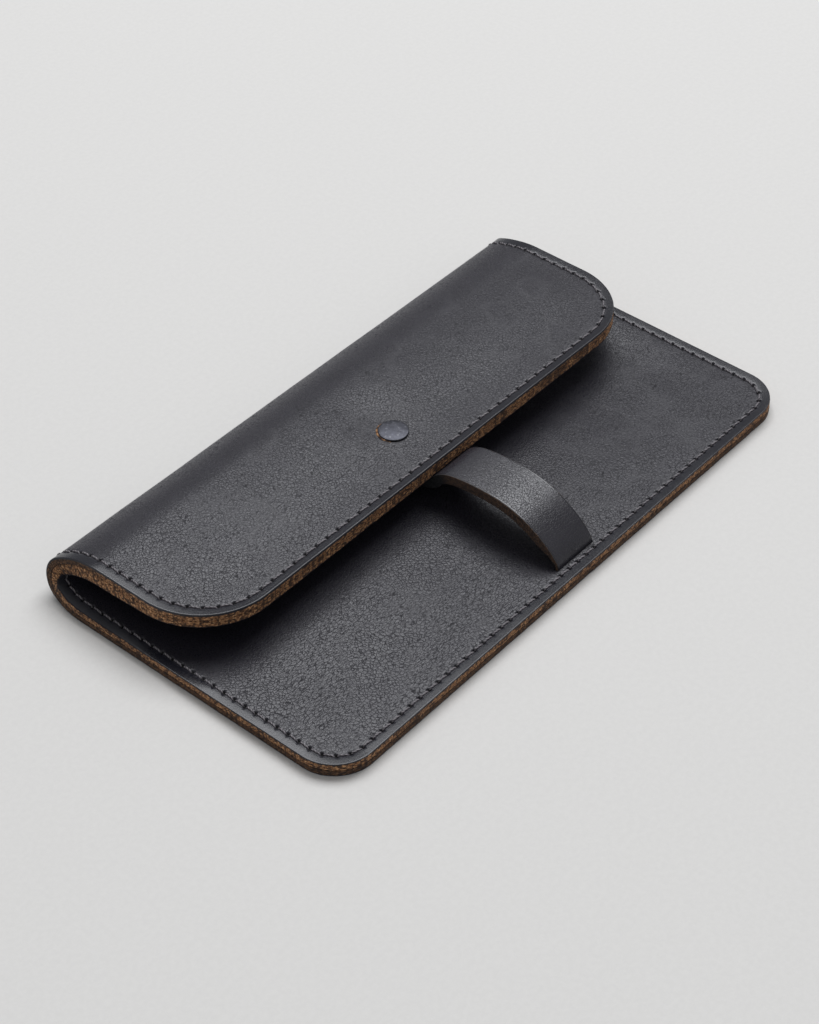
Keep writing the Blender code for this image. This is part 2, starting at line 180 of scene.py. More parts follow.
# Sizes in mm: rawFrom and fleshFrom down the cut edge, and along the flat leather the place from which the
# cut edge is painted near black as shade
leatherLook = {
    "black": (0.0165, 0.0148, 0.021, 1), "creaseShade": (0.0055, 0.005, 0.0075, 1),
    "bloom": (0.026, 0.024, 0.032, 1), "marginShade": (0.0095, 0.0095, 0.014, 1),
    "shadeBlack": (0.0015, 0.0015, 0.002, 1),
    "brown": (0.25, 0.112, 0.045, 1), "tan": (0.80, 0.46, 0.225, 1), "umber": (0.024, 0.012, 0.007, 1),
    "gloss": 0.44, "roughLow": 0.205, "roughHigh": 0.25, "shine": 0.0,
    "marginDull": -0.045, "rimDull": 0.35, "creaseDull": 0.6, "foldDull": 0.0,
    "sheen": 0.04, "sheenRough": 0.45, "sheenTint": (0.75, 0.78, 1.0, 1),
    "grainSize": 1.0, "grainShare": 1.0, "grainDepth": 0.055 * mm, "streaks": 0.5, "streakTurn": 0.35,
    "dome": 0.36, "creaseWide": (0.09, 0.13), "creaseDeep": 0.5, "pores": 0.08, "swell": 2.8,
    "holes": True, "pitch": 3.95, "holeTurn": math.radians(25), "holeLong": 0.64, "holeWide": 0.48,
    "rawFrom": 0.16, "fleshFrom": 1.75, "darkFrom": 900.0, "dirt": 0.5, "dyedEdge": 0.0,
    "fibreDeep": 8.0, "tuftDeep": 1.5,
}


# Pebbled grain: flat-topped cells parted by fine creases, here and there drawn out into wrinkles
def grainNodes(tree, look, flat):
    bendNoise = addNode(tree, "TexNoise", {"Vector": flat, "Scale": 0.55, "Detail": 4.0,
                                           "Roughness": 0.6}).outputs["Color"]
    bent = addNode(tree, "VectorMath", {0: bendNoise, 1: (1.3, 1.3, 0.0), 2: flat},
                   operation="MULTIPLY_ADD").outputs[0]
    drawn = addNode(tree, "Mapping", {"Vector": bent, "Rotation": (0, 0, look["streakTurn"]),
                                     "Scale": (0.60, 1.5, 1)}).outputs[0]
    roundEdge, longEdge, smallEdge = (
        addNode(tree, "TexVoronoi", {"Vector": vector, "Scale": scale / look["grainSize"]},
                feature="DISTANCE_TO_EDGE").outputs["Distance"]
        for vector, scale in ((bent, 1.0), (drawn, 1.0), (bent, 2.1)))
    streaksFrom = 0.60 - 0.16 * look["streaks"]
    where = between(tree, noiseOf(tree, flat, 0.04, 2.0), streaksFrom, streaksFrom + 0.10)
    fading = noiseOf(tree, flat, 0.8, 2.0)    # creases fade out and come back
    creaseWide = between(tree, fading, 0.3, 0.7, *look["creaseWide"])
    roundCrease, longCrease = (between(tree, calc(tree, "DIVIDE", edge, creaseWide), 1.0, 0.0)
                               for edge in (roundEdge, longEdge))
    smallCrease = times(tree, between(tree, smallEdge, 0.2, 0.0), 0.3)
    crease = addNode(tree, "Mix", {0: where, 2: roundCrease, 3: longCrease}).outputs[0]
    crease = calc(tree, "MAXIMUM", crease, smallCrease)
    dome = between(tree, roundEdge, 0.0, 0.40, 0.0, look["dome"])
    grain = calc(tree, "SUBTRACT", dome, times(tree, crease, look["creaseDeep"]))
    pores = noiseOf(tree, flat, 6.0, 2.0, 0.6)
    return calc(tree, "MULTIPLY_ADD", pores, look["pores"], grain), crease


# Slanting holes, one between every two stitches; their mask also paints shade into them
def holeNodes(tree, look, run, across):
    turn = look["holeTurn"]
    step = calc(tree, "SUBTRACT", calc(tree, "FRACT", calc(tree, "ADD", run, 0.5)), 0.5)
    step = times(tree, step, look["pitch"])
    long = calc(tree, "ADD", times(tree, step, math.cos(turn) / look["holeLong"]),
                times(tree, across, math.sin(turn) / look["holeLong"]))
    wide = calc(tree, "SUBTRACT", times(tree, across, math.cos(turn) / look["holeWide"]),
                times(tree, step, math.sin(turn) / look["holeWide"]))
    reach = calc(tree, "SQRT", calc(tree, "ADD", times(tree, long, long), times(tree, wide, wide)))
    return between(tree, reach, 1.2, 0.85)


# Raw cut edge: fibres, pits, a dark line where the dye has crept in from the face, patches of dirt, a darker
# stretch that is partly dye and partly painted shade, and painted shade near black from a set point on
def rawNodes(tree, look, run, across, alongFlat):
    edgeFlat = addNode(tree, "CombineXYZ", {0: times(tree, run, look["pitch"]), 1: across}).outputs[0]
    frayed = noiseOf(tree, edgeFlat, 1.3, 4.0, 0.7)
    below = calc(tree, "SUBTRACT", edgeLine, across)    # depth down the edge
    raw = between(tree, calc(tree, "MULTIPLY_ADD", frayed, 0.35, below),
                  look["rawFrom"] + 0.12, look["rawFrom"] + 0.26)
    fibreMap = addNode(tree, "Mapping", {"Vector": edgeFlat, "Scale": (1.5, 1.9, 1)}).outputs[0]
    fibre = noiseOf(tree, fibreMap, 1.0, 5.0, 0.75)
    tuft = addNode(tree, "TexVoronoi", {"Vector": fibreMap, "Scale": 0.75}, feature="F1").outputs["Distance"]
    patch = noiseOf(tree, edgeFlat, 0.10, 3.0, 0.6)
    dirtFrom = 0.66 - 0.3 * look["dirt"]
    # Dirt patches, and the edge darker before 136 to 150 mm along the leather: partly dye, partly painted
    # shade
    dirtDyeAndShade = calc(tree, "MAXIMUM", between(tree, patch, dirtFrom, dirtFrom + 0.16, 0.0, 0.55),
                  between(tree, alongFlat, 150.0, 136.0, 0.0, look["dyedEdge"]))
    # Painted shade: from this point along the leather the cut edge is coloured near black, where the strap
    # runs under the flap
    dark = between(tree, alongFlat, look["darkFrom"] - 5.0, look["darkFrom"])
    fleshLine = between(tree, below, look["fleshFrom"], look["fleshFrom"] + 0.35)
    colour = mixColour(tree, between(tree, fibre, 0.35, 0.48), look["umber"], look["brown"])
    for amount, tone in ((times(tree, between(tree, fibre, 0.48, 0.62), 0.9), "tan"),
                         (times(tree, between(tree, tuft, 0.45, 0.70), 0.85), "umber"),
                         (dirtDyeAndShade, "umber"), (dark, "shadeBlack"),
                         (times(tree, fleshLine, 0.6), "umber")):
        colour = mixColour(tree, amount, colour, look[tone])
    height = calc(tree, "SUBTRACT", times(tree, fibre, look["fibreDeep"]),
                  times(tree, tuft, look["tuftDeep"]))
    return raw, colour, height


def leatherMaterial(name, **changes):
    look = {**leatherLook, **changes}
    material, tree = newMaterial(name)
    uv = addNode(tree, "UVMap", uv_map="flat").outputs[0]
    flat = addNode(tree, "VectorMath", {0: uv, "Scale": 1 / mm}, operation="SCALE").outputs[0]
    alongFlat = addNode(tree, "SeparateXYZ", {0: flat}).outputs[1]
    seam = addNode(tree, "SeparateXYZ", {0: addNode(tree, "UVMap", uv_map="seam").outputs[0]})
    run, across = seam.outputs[0], seam.outputs[1]

    grain, crease = grainNodes(tree, look, flat)
    inward = between(tree, across, -0.9, 0.5, 0.12, 1.0)    # pressed smooth outside the stitches
    grain = times(tree, times(tree, grain, inward), look["grainShare"])
    swell = noiseOf(tree, flat, 0.045, 2.0, 0.45)           # slow unevenness of the hide
    height = calc(tree, "MULTIPLY_ADD", swell, look["swell"], grain)

    cloud = noiseOf(tree, flat, 0.09, 4.0, 0.6)
    crease = times(tree, times(tree, crease, inward), 0.5 + 0.5 * look["grainShare"])
    colour = mixColour(tree, between(tree, cloud, 0.25, 0.95), look["black"], look["bloom"])
    # Painted shade: the grain's creases are coloured darker, as shade falls in them
    colour = mixColour(tree, times(tree, crease, 0.95), colour, look["creaseShade"])
    # Painted shade: the pressed margin outside the seam is coloured darker, for the darker light it reflects
    colour = mixColour(tree, between(tree, across, -0.4, -1.2), colour, look["marginShade"])
    margin = between(tree, across, -0.2, -1.2)
    inFold = times(tree, between(tree, alongFlat, 66.0, 90.0), margin)
    roughness = between(tree, cloud, 0.2, 0.8, look["roughLow"] - look["shine"],
                        look["roughHigh"] - look["shine"])
    for amount, dull in ((margin, "marginDull"), (inFold, "foldDull"), (crease, "creaseDull"),
                         (between(tree, across, -3.15, -3.4), "rimDull")):
        roughness = calc(tree, "MULTIPLY_ADD", amount, look[dull], roughness)
    if look["holes"]:
        hole = holeNodes(tree, look, run, across)
        # Painted shade: the stitch holes are coloured near black
        colour = mixColour(tree, hole, colour, look["shadeBlack"])
        roughness = calc(tree, "MULTIPLY_ADD", hole, 0.5, roughness)

    raw, rawColour, rawHeight = rawNodes(tree, look, run, across, alongFlat)
    colour = mixColour(tree, raw, colour, rawColour)
    roughness = addNode(tree, "Mix", {0: raw, 2: roughness, 3: 0.9}).outputs[0]
    height = addNode(tree, "Mix", {0: raw, 2: height, 3: rawHeight}).outputs[0]
    setSurface(tree, {"Base Color": colour, "Roughness": roughness, "Specular IOR Level": look["gloss"],
                      "Sheen Weight": look["sheen"], "Sheen Roughness": look["sheenRough"],
                      "Sheen Tint": look["sheenTint"]}, height, look["grainDepth"])
    return material


threadLook = {"thread": (0.23, 0.212, 0.225, 1), "shade": (0.05, 0.046, 0.052, 1),
              "glint": (0.40, 0.375, 0.385, 1), "twist": 5.5, "fluff": 2600.0, "depth": 0.05 * mm}


def threadMaterial(name):
    look = threadLook
    material, tree = newMaterial(name)
    uv = addNode(tree, "SeparateXYZ", {0: addNode(tree, "UVMap", uv_map="flat").outputs[0]})
    angle = calc(tree, "MULTIPLY_ADD", uv.outputs[0], look["twist"], times(tree, uv.outputs[1], 2 * math.tau))
    strand = calc(tree, "MULTIPLY_ADD", calc(tree, "SINE", angle), 0.5, 0.5)
    where = addNode(tree, "NewGeometry").outputs["Position"]
    fluff = noiseOf(tree, where, look["fluff"], 3.0, 0.7)
    # Painted shade in the grooves between the twisted strands, and painted glints on the raised fluff
    colour = mixColour(tree, strand, look["shade"], look["thread"])
    colour = mixColour(tree, between(tree, fluff, 0.55, 0.75), colour, look["glint"])
    height = calc(tree, "ADD", strand, times(tree, fluff, 0.6))
    roughness = between(tree, fluff, 0.3, 0.7, 0.42, 0.62)
    setSurface(tree, {"Base Color": colour, "Roughness": roughness}, height, look["depth"])
    return material


def metalMaterial(name, look):
    material, tree = newMaterial(name)
    where = addNode(tree, "TexCoord").outputs["Object"]
    scuff = noiseOf(tree, where, 900.0, 5.0, 0.7)
    scratchMap = addNode(tree, "Mapping", {"Vector": where, "Rotation": (0, 0, 0.6),
                                          "Scale": (260, 2600, 400)}).outputs[0]
    scratch = noiseOf(tree, scratchMap, 1.0, 3.0, 0.6)
    worn = calc(tree, "MAXIMUM", between(tree, scuff, 0.66 - look["scuffs"], 0.80 - look["scuffs"]),
                between(tree, scratch, 0.64, 0.74))
    colour = mixColour(tree, times(tree, worn, 0.6), look["dark"], look["bare"])
    setSurface(tree, {"Base Color": colour, "Roughness": between(tree, scuff, 0.3, 0.7, *look["rough"]),
                      "Metallic": 1.0}, calc(tree, "MULTIPLY_ADD", scratch, 0.4, scuff), look["depth"], 0.5)
    return material


# Its cut edge is darker towards the front end of the leather, partly dye and partly painted shade
outerLeather = leatherMaterial("outer leather", grainSize=0.95, grainShare=0.8, dyedEdge=0.74)
liningLeather = leatherMaterial("lining leather", grainSize=1.05, grainShare=0.88, streaks=0.95,
                                streakTurn=1.75, gloss=0.42, foldDull=0.45, dirt=0.35, rawFrom=0.0)
# The strap's cut edge is darkened, partly dye and partly painted shade, and from 51 mm on, under the flap,
# painted near black as shade
strapLeather = leatherMaterial("strap leather", grainSize=0.85, grainShare=0.75, streaks=0.0, swell=0.56,
                               gloss=0.60, shine=0.03, holes=False, dirt=0.9, dyedEdge=0.84, rawFrom=0.05,
                               fleshFrom=3.1, darkFrom=51.0)
thread = threadMaterial("waxed thread")
capMetal = metalMaterial("blackened cap", {"dark": (0.052, 0.053, 0.062, 1), "bare": (0.20, 0.205, 0.22, 1),
                                           "rough": (0.33, 0.50), "scuffs": 0.12, "depth": 0.05 * mm})
snapMetal = metalMaterial("old brass", {"dark": (0.20, 0.145, 0.075, 1), "bare": (0.42, 0.33, 0.19, 1),
                                        "rough": (0.3, 0.45), "scuffs": 0.05, "depth": 0.05 * mm})
print("materials made")


def addObject(name, data):
    made = bpy.data.objects.new(name, data)
    bpy.context.scene.collection.objects.link(made)
    return made


# Turns faces and points, each with its place on the flat leather and on the seam, into a smooth piece
def newPiece(name, points, faces, material):
    mesh = bpy.data.meshes.new(name)
    mesh.from_pydata([point[0] for point in points], [], faces)
    for number, label in enumerate(("flat", "seam"), 1):
        layer = mesh.uv_layers.new(name=label)
        for loop in mesh.loops:
            layer.data[loop.index].uv = points[loop.vertex_index][number]
    solid = bmesh.new()
    solid.from_mesh(mesh)
    bmesh.ops.recalc_face_normals(solid, faces=solid.faces)
    solid.to_mesh(mesh)
    solid.free()
    mesh.polygons.foreach_set("use_smooth", [True] * len(mesh.polygons))
    mesh.materials.append(material)
    piece = addObject(name, mesh)
    return piece


# The faces between each ring or row of points and the next
def skin(rings, closed=True):
    faces = []
    for near, far in zip(rings, rings[1:]):
        count = len(near)
        faces += [(near[spot], near[(spot + 1) % count], far[(spot + 1) % count], far[spot])
                  for spot in range(count if closed else count - 1)]
    return faces


# One leather's edge in section: rows across the seam, then over the shoulder and down the cut edge
seamRows = (7.0, 4.6, 2.6, 1.5, 1.0, 0.7, 0.48, 0.3, 0.15, 0.0, -0.15, -0.3, -0.48, -0.7, -1.0, -1.5, -2.1,
            -2.6)
farInside = 30.0    # across the seam, for points well inside it
shoulder = ((0.60, 0.0), (0.34, 0.0), (0.22, 0.012), (0.13, 0.04), (0.065, 0.085), (0.02, 0.15), (0.0, 0.24),
            (0.0, 0.42), (0.0, 0.58), (0.0, 0.74), (0.0, 0.90), (0.0, 1.06), (0.0, 1.22), (0.0, 1.38),
            (0.0, 1.54), (0.0, 1.70), (0.0, 1.86), (0.02, 2.0), (0.06, 2.1), (0.2, 2.15), (6.0, 2.15))
leatherDrop = shoulder[-1][1] * mm
layers = {
    "outer": {"grain": 0.0, "inward": 1, "seed": 1, "material": outerLeather, "slot": "outer_leather"},
    "lining": {"grain": shape["thickness"], "inward": -1, "seed": 2, "material": liningLeather,
               "slot": "lining_leather"},
}
# How the seam is pressed into the leather, in mm; along the leather it lifts off the table from liftFrom
press = {"groove": 0.06, "grooveWide": 0.8, "underGroove": 0.35, "pit": 0.62, "rise": 0.23, "endShare": 0.4,
         "riseFrom": 0.3, "riseOver": 3.0, "fade": 0.6 * mm, "liftFrom": 103 * mm, "liftOver": 8 * mm}


# 1 where a grain side is clear of the table, 0 where it lies on it and its seam is sunk
def clearOfTable(layer, along):
    return smooth((along - press["liftFrom"]) / press["liftOver"]) if layer["inward"] == 1 else 1.0


# The lining is squeezed inside the fold and stands thicker there towards both ends of the case, in mm
gather = {"fold": 0.9, "foldFrom": 92 * mm, "foldRising": 20 * mm,
          "flap": 1.0, "flapFrom": 119 * mm, "flapRising": 18 * mm,
          "to": 181 * mm, "falling": 42 * mm, "clear": 52 * mm, "full": 88 * mm}


def gathered(layer, x, along):
    if layer["inward"] == 1:
        return 0.0
    height = gather["fold"] * smooth((along - gather["foldFrom"]) / gather["foldRising"])
    height += gather["flap"] * smooth((along - gather["flapFrom"]) / gather["flapRising"])
    height *= smooth((gather["to"] - along) / gather["falling"])
    return height * smooth((abs(x) - gather["clear"]) / (gather["full"] - gather["clear"]))


def depthAt(layer, x, along, drop, rise):
    extra = gathered(layer, x, along) * mm * (1 - drop / leatherDrop)
    return layer["grain"] + layer["inward"] * (drop - rise - extra)


# How high the grain side stands beside the seam, in mm: it is pulled in by the thread
def seamHeight(run, across, clear, facing=0.0):
    step = (run - round(run)) * leatherLook["pitch"]
    turn = leatherLook["holeTurn"]
    long = (step * math.cos(turn) + across * math.sin(turn)) / leatherLook["holeLong"]
    wide = (across * math.cos(turn) - step * math.sin(turn)) / leatherLook["holeWide"]
    sunk = press["underGroove"] * (1 - clear)
    groove = (press["groove"] + sunk) * math.exp(-(across / (press["grooveWide"] + 0.5 * sunk)) ** 2)
    rise = press["rise"] * clear * (press["endShare"] + (1 - press["endShare"]) * facing)
    margin = rise * min(max(-across - press["riseFrom"], 0.0) / press["riseOver"], 1.0)
    return margin - groove - press["pit"] * math.exp(-long ** 4 - wide ** 4)


# The rows of one edge: how far in from the edge, depth down from the grain, place across the seam
def edgeRows(margin):
    rows = []
    for across in seamRows:
        share = margin / mm / -edgeLine
        rows.append((margin + (across if across > 0 else across * share) * mm, 0.0, across))
    for inset, drop in shoulder:
        across = edgeLine + max(inset, 0.0) if drop < 0.3 else edgeLine - drop + 0.3
        rows.append((inset * mm, drop * mm, across if inset < 1 else edgeLine - drop - inset))
    return rows


rough = {"wobble": 0.08 * mm, "wobbleSize": 9 * mm, "ripple": 0.05 * mm, "rippleSize": 2.6 * mm,
         "fuzz": 0.15 * mm, "fuzzSize": 0.55 * mm, "fuzzDeep": 0.4 * mm, "from": 0.2 * mm}


# Hand-cut wobble of an edge and the roughness of its fibres, outward, in metres
def edgeRough(x, along, drop, seed):
    wobble = (rough["wobble"] * wander(x, along, seed, rough["wobbleSize"])
              + rough["ripple"] * wander(x, along, seed + 3, rough["rippleSize"]))
    if drop < rough["from"]:
        return wobble * drop / rough["from"]
    fuzz = noise.noise(Vector((x / rough["fuzzSize"], along / rough["fuzzSize"],
                               drop / rough["fuzzDeep"] + seed * 5)))
    return wobble + rough["fuzz"] * fuzz * smooth((drop - rough["from"]) / rough["from"])


# Round a panel from the fold on the left, along its free edge, and back to the fold on the right
def panelSamples(start, edge, corner, step):
    half = halfLength(edge)
    inward = 1 if start > edge else -1
    rowEnd = edge + inward * corner
    rows = spread(start, rowEnd, round(abs(start - rowEnd) / step))
    turns = spread(0, math.pi / 2, round(corner * math.pi / 2 / step))
    across = spread(half - corner, -(half - corner), round(2 * (half - corner) / step))
    right = [(half - corner, along, 1.0, 0.0) for along in rows[:-1]]
    right += [(half - corner, rowEnd, math.cos(turn), -inward * math.sin(turn)) for turn in turns]
    left = [(-x, along, -nx, ny) for x, along, nx, ny in right]
    return left + [(-x, rowEnd, 0.0, -inward) for x in across[1:-1]] + right[::-1]


def panelPoint(panel, sample, insetX, insetY):
    x, along, outX, outY = sample
    return x + outX * (panel["corner"] - insetX), along + outY * (panel["corner"] - insetY)


def seamLine(panel, samples):
    return [panelPoint(panel, sample, panel["endMargin"], panel["edgeMargin"]) for sample in samples]


# Number the stitches along a seam line, so that a whole number of them fits
def numberStitches(line, pitches, first, way):
    runs = [0.0]
    for before, after, pitch in zip(line, line[1:], pitches[1:]):
        runs.append(runs[-1] + math.dist(before, after) / pitch)
    fit = round(runs[-1]) / runs[-1]
    return [first + way * run * fit for run in runs]


foldStitches = 12
panels = {
    "base": {"start": shape["bendFrom"], "edge": 0.0, "corner": shape["baseCorner"], "way": -1, "first": 0,
             "endMargin": 3.6 * mm, "edgeMargin": 3.3 * mm, "endPitch": 3.95 * mm, "edgePitch": 3.95 * mm},
    "flap": {"start": shape["bendTo"], "edge": leatherEnd, "corner": shape["flapCorner"], "way": 1,
             "first": foldStitches, "endMargin": 3.6 * mm, "edgeMargin": 2.8 * mm, "endPitch": 3.94 * mm,
             "edgePitch": 4.55 * mm},
}
# Where the mesh has its points within one stitch: close together round the holes
stitchSteps = (0.0, 0.04, 0.085, 0.13, 0.175, 0.22, 0.33, 0.44, 0.56, 0.67, 0.78, 0.825, 0.87, 0.915, 0.96)


def finerSamples(samples, runs):
    finer, numbers = [], []
    spot = 0
    first, last = round(runs[0]), round(runs[-1])
    way = 1 if last > first else -1
    for count in range(abs(last - first)):
        for step in stitchSteps:
            wanted = first + way * (count + step)
            while (runs[spot + 1] - wanted) * way < 0:
                spot += 1
            share = (wanted - runs[spot]) / (runs[spot + 1] - runs[spot])
            near, far = samples[spot], samples[spot + 1]
            finer.append(tuple(a + (b - a) * share for a, b in zip(near, far)))
            numbers.append(wanted)
    return finer + [samples[-1]], numbers + [last]


sampleStep = 0.4 * mm
for panel in panels.values():
    samples = panelSamples(panel["start"], panel["edge"], panel["corner"], sampleStep)
    pitches = [panel["endPitch"] + (panel["edgePitch"] - panel["endPitch"]) * abs(sample[3])
               for sample in samples]
    runs = numberStitches(seamLine(panel, samples), pitches, panel["first"], panel["way"])
    panel["samples"], panel["runs"] = finerSamples(samples, runs)
    panel["line"] = seamLine(panel, panel["samples"])


# Slow swells of the leather inside the seam, each a soft mound or hollow: middle and reach along x and
# along the leather, height, all in mm
swells = {
    "lining": ((-48, 66, 52, 56, 0.6), (62, 74, 62, 64, -1.5)),
    "outer": ((0, 150, 150, 30, 1.0), (-1, 156.5, 16, 14, -0.45), (-60, 163, 30, 22, 0.12),
              (60, 160, 28, 22, 0.1)),
}
meshStep = 2.4 * mm
unevenness = {"rise": 0.12, "size": 24 * mm, "from": 4.5 * mm, "over": 15 * mm}


def insetOf(panel, x, along):
    deep, side = abs(along - panel["edge"]), halfLength(panel["edge"]) - abs(x)
    corner = panel["corner"]
    if deep < corner and side < corner:
        return corner - math.hypot(corner - deep, corner - side)
    return min(deep, side)


def swellHeight(label, x, along, inset):
    height = unevenness["rise"] * wander(x, along, 12, unevenness["size"])
    for midX, midAlong, reachX, reachAlong, rise in swells[label]:
        far = math.hypot((x / mm - midX) / reachX, (along / mm - midAlong) / reachAlong)
        height += rise * smooth(1 - far)
    return height * smooth((inset - unevenness["from"]) / unevenness["over"]) * mm


# Fill the inside of a panel with an even mesh that follows the swells
def fillInside(points, ring, panel, label):
    order = list(ring)
    layer = layers[label]

    def addInner(x, along, inset):
        rise = swellHeight(label, x, along, inset) * clearOfTable(layer, along)
        order.append(len(points))
        points.append((place(x, along, depthAt(layer, x, along, 0.0, rise)), (x, along),
                       (panel["first"], farInside)))

    for x in spread(points[ring[-1]][1][0], points[ring[0]][1][0], innerStations)[1:-1]:
        addInner(x, panel["start"], halfLength(panel["start"]) - abs(x))
    outline = len(order)
    edges = [(spot, (spot + 1) % outline) for spot in range(outline)]
    inset = panel["endMargin"] + seamRows[0] * mm
    low, high = sorted((panel["start"], panel["edge"]))
    for along in spread(low, high, round((high - low) / meshStep)):
        for x in spread(-shape["length"] / 2, shape["length"] / 2, round(shape["length"] / meshStep)):
            clear = insetOf(panel, x, along) > inset + meshStep / 2
            if clear and abs(along - panel["start"]) > meshStep / 2:
                addInner(x, along, insetOf(panel, x, along))
    spots = [Vector(points[spot][1]) for spot in order]
    _, _, faces, origins, _, _ = delaunay_2d_cdt(spots, edges, [list(range(outline))], 1, 1e-7)
    return [[order[origins[corner][0]] for corner in face] for face in faces], order[len(ring):outline]


def panelPiece(name, panel, label):
    layer = layers[label]
    points, rings = [], []
    endRows, sideRows = edgeRows(panel["endMargin"]), edgeRows(panel["edgeMargin"])
    for (insetX, drop, across), (insetY, _, _) in zip(endRows, sideRows):
        start = len(points)
        for sample, run in zip(panel["samples"], panel["runs"]):
            x, along = panelPoint(panel, sample, insetX, insetY)
            rise = seamHeight(run, across, clearOfTable(layer, along), abs(sample[3])) * mm
            rise *= 1 - smooth(drop / press["fade"])
            if drop == 0.0:
                rise += swellHeight(label, x, along, insetOf(panel, x, along)) * clearOfTable(layer, along)
            if drop > 0.0 and insetX < 1 * mm:
                out = edgeRough(x, along, drop, layer["seed"])
                x, along = x + sample[2] * out, along + sample[3] * out
            points.append((place(x, along, depthAt(layer, x, along, drop, rise)), (x, along), (run, across)))
        rings.append(list(range(start, len(points))))
    faces, startRow = fillInside(points, rings[0], panel, label)
    faces.append(rings[-1][::-1])
    faces.append([ring[0] for ring in reversed(rings)] + startRow[::-1] + [ring[-1] for ring in rings])
    faces += skin(rings, closed=False)
    return newPiece(name, points, faces, layer["material"])


# One stretch of the fold, as a sleeve that runs from end to end of the case
bendMargin = 3.6 * mm
innerStations = 22


def bendPiece(name, first, last, label):
    layer = layers[label]
    ease = 0.02 * mm    # thin first and last rows keep the shading even across the join
    pitch = leatherLook["pitch"] * mm
    inner = [shape["bendFrom"] + (count + step) * pitch for count in range(foldStitches)
             for step in stitchSteps]
    inner = [along for along in inner if first + 3 * ease < along < last - 3 * ease]
    rows = [first, first + ease] + inner + [last - ease, last]
    points, loops = [], []
    section = edgeRows(bendMargin)
    for along in rows:
        run = (along - shape["bendFrom"]) / pitch
        half = halfLength(along)
        clear = clearOfTable(layer, along)
        side = [(half - inset, drop, across) for inset, drop, across in section]
        middle = [(x, 0.0, farInside) for x in spread(side[0][0], -side[0][0], innerStations)[1:-1]]
        ring = side[::-1] + middle + [(-x, drop, across) for x, drop, across in side]
        start = len(points)
        for x, drop, across in ring:
            rise = seamHeight(run, across, clear) * mm * (1 - smooth(drop / press["fade"]))
            if drop == 0.0:
                rise += swellHeight(label, x, along, half - abs(x)) * clear
            if drop > 0.0 and abs(x) > half - 1 * mm:
                x += math.copysign(edgeRough(x, along, drop, layer["seed"]), x)
            points.append((place(x, along, depthAt(layer, x, along, drop, rise)), (x, along), (run, across)))
        loops.append(list(range(start, len(points))))
    faces = [loops[0][::-1], loops[-1]] + skin(loops)
    return newPiece(name, points, faces, layer["material"])


# The bends: each turns about one crease, from the middle of one fold piece to the next
middles = [(near + far) / 2 for near, far in zip(creases, creases[1:])]
bendEnds = [shape["bendFrom"]] + middles + [shape["bendTo"]]


def blendAcross(piece):
    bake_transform(piece)


pieces = {}
for label, layer in layers.items():
    for body, panel in panels.items():
        pieces[label, body] = panelPiece(label + "Leather_" + body, panel, label)
    for number, (first, last) in enumerate(zip(bendEnds, bendEnds[1:])):
        bend = bendPiece("%sLeather_bend%d" % (label, number + 1), first, last, label)
        pieces[label, number] = bend
        if number < 5:
            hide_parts("%s_fold_%d" % (label, number + 1))
print("leather laid out,", len(pieces), "pieces")


# Cut a shape out of a piece for good
def cutOut(piece, cutter):
    boolean = piece.modifiers.new("cut", "BOOLEAN")
    boolean.operation = "DIFFERENCE"
    boolean.solver = "EXACT"
    boolean.object = cutter
    bpy.context.view_layer.update()
    cutMesh = bpy.data.meshes.new_from_object(piece.evaluated_get(bpy.context.evaluated_depsgraph_get()))
    cutMesh.set_sharp_from_angle(angle=math.radians(50))    # crisp rim where it was cut
    piece.modifiers.clear()
    piece.data = cutMesh


# A straight cutter over an outline, from one height to another
def cutterPiece(name, outline, low, high, material):
    points = [Vector((x, y, z)) for z in (low, high) for x, y in outline]
    rings = [list(range(len(outline))), list(range(len(outline), len(points)))]
    mesh = bpy.data.meshes.new(name)
    mesh.from_pydata(points, [], [rings[0][::-1], rings[1]] + skin(rings))
    for label in ("flat", "seam"):
        mesh.uv_layers.new(name=label)
    mesh.materials.append(material)
    return addObject(name, mesh)


# Strap: sewn in a slit, arched, and tucked under the flap to the press stud
strap = {
    "width": 16.4 * mm, "thickness": 3.4 * mm, "rootThickness": 1.1 * mm, "pared": 11.0 * mm,
    "offset": 3.25 * mm, "tipRadius": 6.0 * mm, "tipReach": 9.0 * mm, "setback": 5.1 * mm,
    "rootLow": 2.5 * mm, "rootTop": 5.1 * mm, "peak": (31.2 * mm, 18.9 * mm), "edge": (52.4 * mm, 13.2 * mm),
    "edgeAngle": math.radians(-60), "lead": 5.0 * mm, "endTop": 10.3 * mm, "reaches": (0.08, 0.54, 0.24),
    "steps": 34, "rounding": 0.32 * mm, "fuzz": 0.07 * mm, "fuzzLong": 0.6 * mm, "fuzzDeep": 0.5 * mm,
    "slitGap": 0.25 * mm, "slitBack": 0.12 * mm, "slitLow": 2.6 * mm, "slitHigh": 6.0 * mm,
    "holeRadius": 1.4 * mm, "holeLow": 5.0 * mm, "holeHigh": 12.0 * mm,
}


def easedCurve(start, startAngle, startReach, end, endAngle, endReach):
    span = math.dist(start, end)
    near = (start[0] + span * startReach * math.cos(startAngle),
            start[1] + span * startReach * math.sin(startAngle))
    far = (end[0] - span * endReach * math.cos(endAngle), end[1] - span * endReach * math.sin(endAngle))
    corners = (start, near, far, end)
    points = []
    for t in spread(0, 1, strap["steps"]):
        weights = ((1 - t) ** 3, 3 * t * (1 - t) ** 2, 3 * t * t * (1 - t), t ** 3)
        points.append(tuple(sum(weight * corner[axis] for weight, corner in zip(weights, corners))
                            for axis in (0, 1)))
    return points


